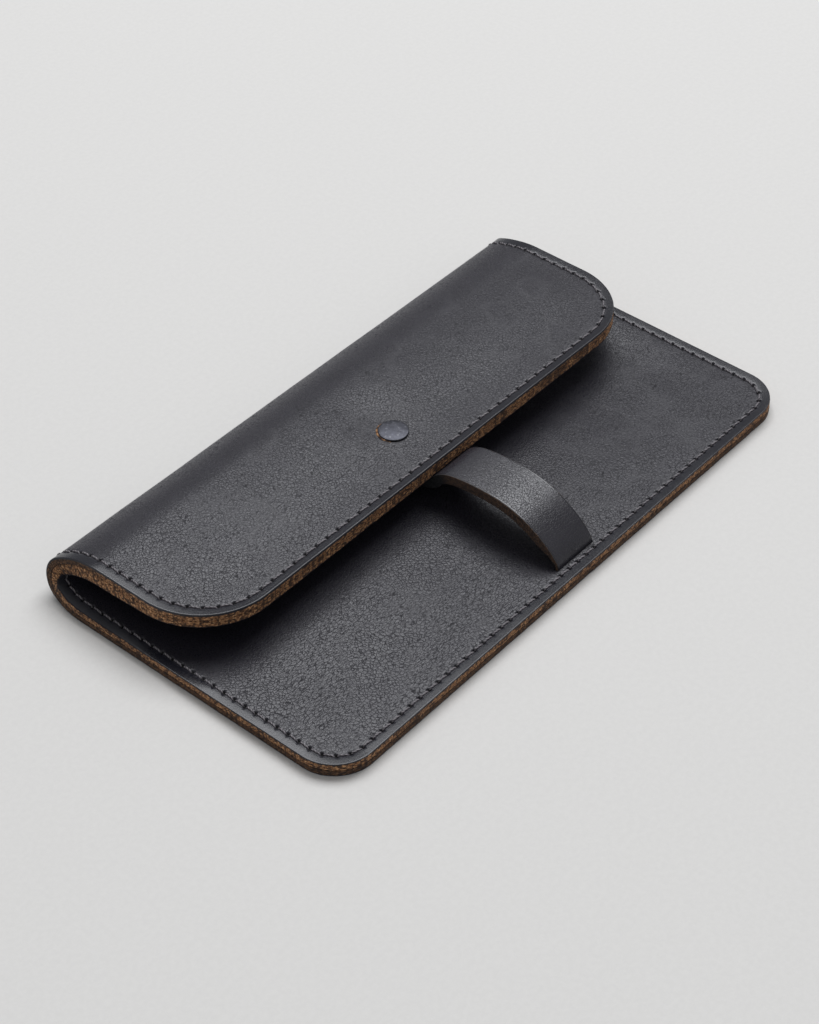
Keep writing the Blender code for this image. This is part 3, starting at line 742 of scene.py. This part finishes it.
def strapLine():
    rootReach, peakReach, edgeReach = strap["reaches"]
    root = (strap["setback"], strap["rootTop"])
    level = (snapY - front - strap["lead"], strap["endTop"])
    tip = snapY - front + strap["tipReach"]
    line = [(strap["setback"], z) for z in spread(strap["rootLow"], strap["rootTop"], 6)]
    line += easedCurve(root, math.pi / 2, rootReach, strap["peak"], 0.0, peakReach)[1:]
    line += easedCurve(strap["peak"], 0.0, peakReach, strap["edge"], strap["edgeAngle"], edgeReach)[1:]
    line += easedCurve(strap["edge"], strap["edgeAngle"], edgeReach, level, 0.0, edgeReach)[1:]
    radius = strap["tipRadius"]
    rounding = [tip - radius * (1 - math.cos(turn)) for turn in spread(math.pi / 2, 0, 14)]
    return line + [(y, strap["endTop"]) for y in rounding]


def strapPiece():
    line = strapLine()
    tip = line[-1][0]
    points, loops = [], []
    travelled = -(strap["rootTop"] - strap["rootLow"])
    for spot, (y, z) in enumerate(line):
        before, after = line[max(spot - 1, 0)], line[min(spot + 1, len(line) - 1)]
        heading = math.atan2(after[1] - before[1], after[0] - before[0])
        travelled += math.dist(before, (y, z))
        thick = strap["rootThickness"] + ((strap["thickness"] - strap["rootThickness"])
                                          * smooth(travelled / strap["pared"]))
        past = max(strap["tipRadius"] - (tip - y), 0.0)
        half = strap["width"] / 2 - strap["tipRadius"]
        half += math.sqrt(max(strap["tipRadius"] ** 2 - past ** 2, (0.02 * mm) ** 2))
        rounded = min(strap["rounding"], thick / 3, half / 2)
        cutHigh = thick - 1.6 * rounded
        section = [(half - 2.5 * rounded, 0.0, 4.0), (half - 1.4 * rounded, 0.0, edgeLine + 0.6)]
        for turn in spread(math.pi / 2, 0, 4):
            section.append((half - rounded * (1 - math.cos(turn)), rounded * (1 - math.sin(turn)),
                            edgeLine - rounded * (1 - math.sin(turn)) / mm))
        for share in (0.2, 0.4, 0.6, 0.8, 1):
            section.append((half, rounded + cutHigh * share, edgeLine - (rounded + cutHigh * share) / mm))
        section += [(half - 0.3 * rounded, thick - 0.2 * rounded, edgeLine - thick / mm),
                    (half - rounded, thick, edgeLine - thick / mm - 0.3),
                    (half / 2, thick, edgeLine - thick / mm - 4)]
        ring = [(x, drop, across) for x, drop, across in section[::-1]]
        ring += [(-x, drop, across) for x, drop, across in section]
        start = len(points)
        for x, drop, across in ring:
            side = math.copysign(1, x)
            if 0.15 * mm < drop < thick and abs(x) > half - 0.4 * mm:
                fuzz = noise.noise(Vector((travelled / strap["fuzzLong"], drop / strap["fuzzDeep"],
                                           4.0 + side)))
                x += side * strap["fuzz"] * fuzz
            points.append((Vector((strap["offset"] + x, front + y + drop * math.sin(heading),
                                   z - drop * math.cos(heading))),
                           (strap["offset"] + x + 0.3, travelled),
                           (travelled / mm / leatherLook["pitch"] + 40 + 30 * side, across)))
        loops.append(list(range(start, len(points))))
    faces = [loops[0][::-1], loops[-1]] + skin(loops)
    return newPiece("strapLeather", points, faces, strapLeather)


def ringOutline(x, y, radius, steps=40):
    return [(x + radius * math.cos(turn), y + radius * math.sin(turn))
            for turn in (math.tau * step / steps for step in range(steps))]


strapBand = strapPiece()
studHole = cutterPiece("studHole", ringOutline(snapX, snapY, strap["holeRadius"]), strap["holeLow"],
                       strap["holeHigh"], strapLeather)
cutOut(strapBand, studHole)
rootY = front + strap["setback"]
slitHalf = strap["width"] / 2 + strap["slitGap"]
slitFront, slitEnd = rootY - strap["slitBack"], rootY + strap["rootThickness"] + strap["slitGap"]
slitOutline = [(strap["offset"] + side * slitHalf, y) for side, y in
               ((-1, slitFront), (1, slitFront), (1, slitEnd), (-1, slitEnd))]
slit = cutterPiece("slit", slitOutline, strap["slitLow"], strap["slitHigh"], liningLeather)
cutOut(pieces["lining", "base"], slit)
flapHole = {"radius": 1.7 * mm, "low": 12.0 * mm, "high": 20.0 * mm}
shankHole = cutterPiece("shankHole", ringOutline(snapX, snapY, flapHole["radius"]), flapHole["low"],
                        flapHole["high"], outerLeather)
for label in layers:
    cutOut(pieces[label, "flap"], shankHole)
for cutter in (studHole, slit, shankHole):
    bpy.data.objects.remove(cutter, do_unlink=True)

for label in layers:
    for body in panels:
        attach(pieces[label, body], body)
        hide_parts("%s_%s" % (label, body))
    for number in range(6):
        blendAcross(pieces[label, number])
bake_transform(strapBand)
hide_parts("strap_band", "strap_root")
print("strap sewn in, leather cut")


# Stitches: one short thread from hole to hole, slightly slanted, in a pressed groove
stitch = {
    "radius": 0.29 * mm, "sides": 8, "slant": 0.20 * mm,
    "path": ((0.125, -0.80), (0.135, -0.50), (0.16, -0.20), (0.20, 0.01), (0.28, 0.12), (0.40, 0.16),
             (0.60, 0.16), (0.72, 0.12), (0.80, 0.01), (0.84, -0.20), (0.865, -0.50), (0.875, -0.80)),
    "leanVaries": 0.35, "liftVaries": 0.04 * mm, "sunk": 1.2,
}


# Where along a numbered line a given stitch number lies, with the way across it
def alongLine(line, runs, wanted):
    low, high = 0, len(runs) - 1
    rising = runs[-1] > runs[0]
    while high - low > 1:
        middle = (low + high) // 2
        if (runs[middle] <= wanted) == rising:
            low = middle
        else:
            high = middle
    share = (wanted - runs[low]) / (runs[high] - runs[low])
    (x0, a0), (x1, a1) = line[low], line[high]
    span = math.hypot(x1 - x0, a1 - a0)
    return x0 + (x1 - x0) * share, a0 + (a1 - a0) * share, (a1 - a0) / span, -(x1 - x0) / span


def threadTube(points, faces, path, seed):
    sides = stitch["sides"]
    rings = []
    travelled = seed * 3.7
    for spot, centre in enumerate(path):
        before, after = path[max(spot - 1, 0)], path[min(spot + 1, len(path) - 1)]
        ahead = (after - before).normalized()
        aside = ahead.cross(Vector((0.31, 0.17, 0.93))).normalized()
        over = aside.cross(ahead)
        travelled += (centre - path[max(spot - 1, 0)]).length / mm
        rings.append(list(range(len(points), len(points) + sides)))
        for side in range(sides):
            turn = math.tau * side / sides
            points.append((centre + stitch["radius"] * (aside * math.cos(turn) + over * math.sin(turn)),
                           (travelled, side / sides), (travelled, side / sides)))
    faces += [rings[0][::-1], rings[-1]] + skin(rings)


def stitchRow(name, line, runs, layer, numbers):
    points, faces = [], []
    for number in numbers:
        path = []
        lean = stitch["slant"] * (1 + stitch["leanVaries"] * wander(number * mm, 0, 5, 1.7 * mm))
        lift = stitch["liftVaries"] * wander(number * mm, 0, 6, 1.3 * mm)
        for share, high in stitch["path"]:
            x, along, outX, outY = alongLine(line, runs, number + share)
            aside = lean * (1 - 2 * share)
            sunk = stitch["sunk"] * press["underGroove"] * (1 - clearOfTable(layer, along))
            rise = (high - press["groove"] - sunk) * mm + lift
            path.append(place(x + outX * aside, along + outY * aside, depthAt(layer, x, along, 0.0, rise)))
        threadTube(points, faces, path, number)
    return newPiece(name, points, faces, thread)


rowNames = {("lining", "base"): "seam_base_top", ("outer", "base"): "seam_base_under",
            ("outer", "flap"): "seam_flap_top", ("lining", "flap"): "seam_flap_under"}
for (label, body), node in rowNames.items():
    panel = panels[body]
    lowest, highest = sorted((round(panel["runs"][0]), round(panel["runs"][-1])))
    row = stitchRow("stitches_%s_%s" % (body, label), panel["line"], panel["runs"], layers[label],
                    range(lowest, highest))
    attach(row, body)
    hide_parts(node)

foldAlongs = spread(shape["bendFrom"], shape["bendTo"], 240)
foldRuns = [(along - shape["bendFrom"]) / (leatherLook["pitch"] * mm) for along in foldAlongs]
for label, layer in layers.items():
    for sideName, side in (("left", -1), ("right", 1)):
        line = [(side * (halfLength(along) - bendMargin), along) for along in foldAlongs]
        groups = {}
        for number in range(foldStitches):
            middle = alongLine(line, foldRuns, number + 0.5)[1]
            group = sum(middle > end for end in bendEnds[1:-1])
            groups.setdefault(group, []).append(number)
        for group, numbers in groups.items():
            name = "stitches_bend%d_%s_%s" % (group + 1, label, sideName)
            row = stitchRow(name, line, foldRuns, layer, numbers)
            blendAcross(row)
            if label == "outer" and group < 5:
                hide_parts("seam_fold_%d_%s" % (group + 1, sideName))
print("stitched")


# Turned metal: a profile in mm down the outer side, spun round the snap's axis
def turnedPiece(name, profile, material, steps=64, dents=0.0):
    points, rings = [], []
    for radius, z in profile:
        rings.append(list(range(len(points), len(points) + steps)))
        for step in range(steps):
            turn = math.tau * step / steps
            spot = Vector((radius * math.cos(turn), radius * math.sin(turn), z))
            spot.z += dents * noise.noise(spot / dentSize)
            points.append((Vector((snapX, snapY, 0)) + spot * mm, (turn, z * mm), (turn, z * mm)))
    if profile[0][0] > 0.2:    # a ring with an open middle
        faces = skin(rings + rings[:1])
    else:
        faces = skin(rings) + [rings[0], rings[-1]]
    return newPiece(name, points, faces, material)


def arc(radius, z, size, startTurn, endTurn, steps):
    return [(radius + size * math.sin(turn), z + size * math.cos(turn))
            for turn in spread(startTurn, endTurn, steps)]


dentSize = 1.6
snapCap = {"radius": 4.7, "low": 17.74, "top": 19.12, "rim": 0.26, "dome": 0.34,
           "shank": 1.45, "shankLow": 12.6}
rimTop = snapCap["top"] - snapCap["dome"] - 0.92 * snapCap["rim"]
capProfile = [(snapCap["radius"] * share, snapCap["top"] - snapCap["dome"] * share ** 2.2)
              for share in (0.02, 0.15, 0.3, 0.45, 0.58, 0.7, 0.8, 0.88)]
capProfile += arc(snapCap["radius"] - snapCap["rim"], rimTop, snapCap["rim"], math.radians(12),
                  math.pi / 2, 7)
capProfile += [(snapCap["radius"], snapCap["low"] + 0.12), (snapCap["radius"] - 0.1, snapCap["low"]),
               (3.4, snapCap["low"] + 0.1), (snapCap["shank"], snapCap["low"]),
               (snapCap["shank"], snapCap["shankLow"]), (0.1, snapCap["shankLow"])]
cap = turnedPiece("snapCap", capProfile, capMetal, steps=72, dents=0.05)
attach(cap, "flap")
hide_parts("snap_cap")

socketProfile = ([(1.75, 13.38)] + arc(3.55, 13.05, 0.33, 0, math.pi / 2, 5)
                 + [(3.88, 12.7), (3.3, 12.5), (3.25, 12.0)] + arc(3.1, 11.5, 0.28, math.pi / 2, math.pi, 5)
                 + [(2.7, 11.25), (2.5, 11.45), (2.45, 12.0), (2.5, 12.45), (1.75, 12.6)])
socket = turnedPiece("snapSocket", socketProfile, snapMetal)
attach(socket, "flap")
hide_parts("snap_socket")

studProfile = ([(0.03, 12.28), (0.9, 12.26)] + arc(1.35, 11.85, 0.4, 0.2, 2.2, 8)
               + [(1.48, 11.35), (1.5, 11.1), (1.9, 10.98)] + arc(3.1, 10.77, 0.2, 0, math.pi, 6)
               + [(1.15, 10.53), (1.15, 6.1), (0.03, 6.1)])
stud = turnedPiece("snapStud", studProfile, snapMetal)
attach(stud, "strap")
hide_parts("snap_stud")

backProfile = [(1.3, 6.72)] + arc(3.12, 6.44, 0.26, 0, math.pi, 8) + [(1.9, 6.14), (1.3, 6.3)]
backRing = turnedPiece("snapBackRing", backProfile, snapMetal)
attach(backRing, "strap")
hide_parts("snap_back_ring")

# Raw leather that shows beside the cap, where its hole was punched a little wide
lip = {"radius": 4.95 * mm, "size": 0.36 * mm, "flatter": 0.8, "low": 0.02 * mm,
       "middle": math.radians(150), "sweep": math.radians(64), "steps": 26, "sides": 10}
lipPoints, lipRings = [], []
for turn in spread(lip["middle"] - lip["sweep"], lip["middle"] + lip["sweep"], lip["steps"]):
    taper = math.sqrt(max(1 - ((turn - lip["middle"]) / lip["sweep"]) ** 2, 0.01))
    lipRings.append(list(range(len(lipPoints), len(lipPoints) + lip["sides"])))
    for side in range(lip["sides"]):
        swing = math.tau * side / lip["sides"]
        reach = lip["radius"] + lip["size"] * taper * math.cos(swing)
        x, y = snapX + reach * math.cos(turn), snapY + reach * math.sin(turn)
        along = leatherEnd - shape["snapSetback"] - reach * math.sin(turn)
        rise = swellHeight("outer", x, along, insetOf(panels["flap"], x, along))
        rise += lip["size"] * lip["flatter"] * taper * math.sin(swing)
        lipPoints.append((Vector((x, y, shape["height"] - lip["low"] + rise)), (x, along),
                          (turn, edgeLine - 1.0 - 0.06 * side)))
capLip = newPiece("capHoleLip", lipPoints, skin(lipRings) + [lipRings[0], lipRings[-1]], outerLeather)
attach(capLip, "flap")
print("press stud made")

# Table, light and camera
table = {"size": 9.0, "tone": (0.725, 0.713, 0.686, 1), "shade": (0.70, 0.688, 0.662, 1), "fleck": 600.0}
material, tree = newMaterial("pale paper table")
where = addNode(tree, "NewGeometry").outputs["Position"]
fleck = noiseOf(tree, where, table["fleck"], 4.0, 0.7)
paper = mixColour(tree, between(tree, fleck, 0.3, 0.7), table["shade"], table["tone"])
setSurface(tree, {"Base Color": paper, "Roughness": 0.85, "Specular IOR Level": 0.2}, fleck, 0.05 * mm, 0.3)
half = table["size"] / 2
tableMesh = bpy.data.meshes.new("table")
tableMesh.from_pydata([(-half, -half, 0), (half, -half, 0), (half, half, 0), (-half, half, 0)], [],
                      [(0, 1, 2, 3)])
tableMesh.materials.append(material)
tableTop = addObject("table", tableMesh)

light = {"room": 0.345, "tint": (0.955, 0.968, 1.0),
         "at": (1.413, 0.751, 2.771), "size": (3.0, 1.775), "watts": 96.5}    # a softbox aimed at the middle
world = bpy.data.worlds.new("room")
bpy.context.scene.world = world
world.use_nodes = True
world.node_tree.nodes["Background"].inputs["Color"].default_value = (*light["tint"], 1)
world.node_tree.nodes["Background"].inputs["Strength"].default_value = light["room"]
lamp = bpy.data.lights.new("softbox", "AREA")
lamp.shape = "RECTANGLE"
lamp.size, lamp.size_y = light["size"]
lamp.energy = light["watts"]
lamp.color = light["tint"]
lampObject = addObject("softbox", lamp)
lampObject.location = light["at"]
lampObject.rotation_euler = Vector(light["at"]).to_track_quat("Z", "Y").to_euler()

view = {"look": (0.5635, 0.4768, -0.6746), "target": (-9.75 * mm, -0.59 * mm, 0), "distance": 716.5 * mm,
        "lens": 84.39, "roll": math.radians(0.09)}
camera = bpy.data.cameras.new("camera")
camera.lens = view["lens"]
camera.sensor_width = 36
cameraObject = addObject("camera", camera)
look = Vector(view["look"]).normalized()
facing = look.to_track_quat("-Z", "Y").to_matrix() @ Matrix.Rotation(view["roll"], 3, "Z")
cameraObject.location = Vector(view["target"]) - look * view["distance"]
cameraObject.rotation_euler = facing.to_euler()
bpy.context.scene.camera = cameraObject
bpy.context.scene.view_settings.view_transform = "Standard"
print("table, light and camera set")
